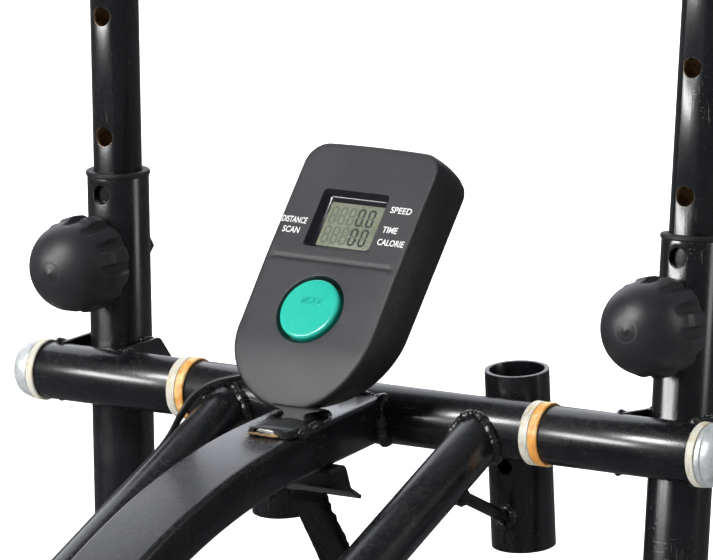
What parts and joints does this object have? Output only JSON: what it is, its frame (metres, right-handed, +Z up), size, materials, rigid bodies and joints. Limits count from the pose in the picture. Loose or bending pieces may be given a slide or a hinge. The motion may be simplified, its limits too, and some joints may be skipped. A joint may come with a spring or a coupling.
{
  "type": "elliptical trainer",
  "caption": "Elliptical trainer: welded frame, swing arms with height-adjustable handlebars, foot rails, rear flywheel and small display console.",
  "frame": {"origin": "on the floor, under the middle of the machine's length and width", "axes": "+Z up, +Y the way the user faces, +X the user's right"},
  "size_m": [0.57, 1.315, 1.4593],
  "materials": {
    "frame_paint": "gloss black paint, scuffed",
    "bare_steel": "ground steel",
    "zinc": "dull zinc plate",
    "flywheel_iron": "painted cast iron with a turned rim",
    "console_plastic": "fine-textured charcoal plastic",
    "knob_plastic": "satin dark grey plastic",
    "black_plastic": "moulded black plastic",
    "nylon": "cream nylon",
    "aged_nylon": "yellowed nylon",
    "foam": "closed-cell foam",
    "webbing": "fuzzy hook-and-loop webbing",
    "board": "lacquered circuit board",
    "display": "reflective liquid-crystal glass",
    "button": "glossy turquoise plastic"
  },
  "bodies": {
    "main_frame": {"cross_tube": "frame_paint", "main_beam": "frame_paint", "tie_bar": "frame_paint", "floor_beam": "frame_paint", "front_stabiliser": "frame_paint", "rear_stabiliser": "frame_paint", "pivot_shaft": "bare_steel", "brake_block": "black_plastic", "console_front_case": "console_plastic", "console_back_case": "console_plastic", "lcd_panel": "display", "circuit_board": "board", "console_mount_plate": "frame_paint", "console_stem": "black_plastic", "strap_hook": "frame_paint", "storage_strap": "webbing", "sensor_lead": "black_plastic", "speed_sensor": "black_plastic", "left_side_tube": "frame_paint", "left_axle_bearing": "bare_steel", "left_front_socket": "frame_paint", "left_front_foot_cap": "black_plastic", "left_rear_foot_cap": "black_plastic", "left_frame_bush": "aged_nylon", "left_end_cap": "zinc", "right_side_tube": "frame_paint", "right_axle_bearing": "bare_steel", "right_front_socket": "frame_paint", "right_front_foot_cap": "black_plastic", "right_rear_foot_cap": "black_plastic", "right_frame_bush": "nylon", "right_end_cap": "zinc"},
    "left_arm": {"left_swing_arm": "frame_paint", "left_inner_bush": "nylon", "left_outer_bush": "nylon", "left_arm_collar": "black_plastic"},
    "left_upper_handle": {"left_handlebar": "frame_paint", "left_grip": "foam", "left_grip_plug": "black_plastic"},
    "left_knob": {"left_adjust_knob": "knob_plastic"},
    "left_pedal_rail": {"left_foot_rail": "frame_paint", "left_foot_plate": "black_plastic", "left_pivot_bolt": "zinc"},
    "left_wheel": {"left_transport_wheel": "black_plastic"},
    "right_arm": {"right_swing_arm": "frame_paint", "right_inner_bush": "aged_nylon", "right_outer_bush": "nylon", "right_arm_collar": "black_plastic"},
    "right_upper_handle": {"right_handlebar": "frame_paint", "right_grip": "foam", "right_grip_plug": "black_plastic"},
    "right_knob": {"right_adjust_knob": "knob_plastic"},
    "right_pedal_rail": {"right_foot_rail": "frame_paint", "right_foot_plate": "black_plastic", "right_pivot_bolt": "zinc"},
    "right_wheel": {"right_transport_wheel": "black_plastic"},
    "drive": {"flywheel": "flywheel_iron", "crankset": "frame_paint"},
    "button": {"mode_button": "button"},
    "tension_knob": {"resistance_knob": "knob_plastic"}
  },
  "joints": [
    {"name": "left_arm_swing", "type": "hinge", "parent": "main_frame", "child": "left_arm", "pos_m": [0, 0.31951, 0.7], "axis": [1, 0, 0], "range_deg": [-16.4, 9.6]},
    {"name": "left_rail_pivot", "type": "hinge", "parent": "left_arm", "child": "left_pedal_rail", "pos_m": [-0.172, 0.36762, 0.23102], "axis": [1, 0, 0], "range_deg": [-9.6, 16.4]},
    {"name": "left_handlebar_height", "type": "slide", "parent": "left_arm", "child": "left_upper_handle", "axis": [0, -0.0241, 0.9997], "range_m": [-0.162, 0.081]},
    {"name": "left_knob_turn", "type": "hinge", "parent": "left_arm", "child": "left_knob", "pos_m": [-0.2156, 0.32595, 0.77718], "axis": [0, -0.9997, -0.0241], "range_deg": [0, 540]},
    {"name": "left_transport_wheel_spin", "type": "hinge", "parent": "main_frame", "child": "left_wheel", "pos_m": [-0.225, 0.63351, 0.027], "axis": [1, 0, 0], "continuous": true},
    {"name": "right_arm_swing", "type": "hinge", "parent": "main_frame", "child": "right_arm", "pos_m": [0, 0.31951, 0.7], "axis": [1, 0, 0], "range_deg": [-9.6, 16.4]},
    {"name": "right_rail_pivot", "type": "hinge", "parent": "right_arm", "child": "right_pedal_rail", "pos_m": [0.172, 0.31093, 0.22864], "axis": [1, 0, 0], "range_deg": [-16.4, 9.6]},
    {"name": "right_handlebar_height", "type": "slide", "parent": "right_arm", "child": "right_upper_handle", "axis": [0, 0.0962, 0.9954], "range_m": [-0.162, 0.081]},
    {"name": "right_knob_turn", "type": "hinge", "parent": "right_arm", "child": "right_knob", "pos_m": [0.2156, 0.33518, 0.77585], "axis": [0, -0.9954, 0.0962], "range_deg": [0, 540]},
    {"name": "right_transport_wheel_spin", "type": "hinge", "parent": "main_frame", "child": "right_wheel", "pos_m": [0.225, 0.63351, 0.027], "axis": [1, 0, 0], "continuous": true},
    {"name": "crank_spin", "type": "hinge", "parent": "main_frame", "child": "drive", "pos_m": [0, -0.46751, 0.29849], "axis": [1, 0, 0], "continuous": true},
    {"name": "resistance_knob_turn", "type": "hinge", "parent": "main_frame", "child": "tension_knob", "pos_m": [0, -0.4222, 0.08], "axis": [0, 1, 0], "range_deg": [0, 270]},
    {"name": "mode_button_press", "type": "slide", "parent": "main_frame", "child": "button", "axis": [0.0379, 0.7892, -0.6129], "range_m": [0, 0.0015], "stiffness_N_per_m": 400}
  ],
  "couplings": [
    {"joint": "right_arm_swing", "follows": "left_arm_swing", "ratio": -1},
    {"joint": "left_rail_pivot", "follows": "left_arm_swing", "ratio": -1},
    {"joint": "right_rail_pivot", "follows": "left_arm_swing", "ratio": 1}
  ]
}
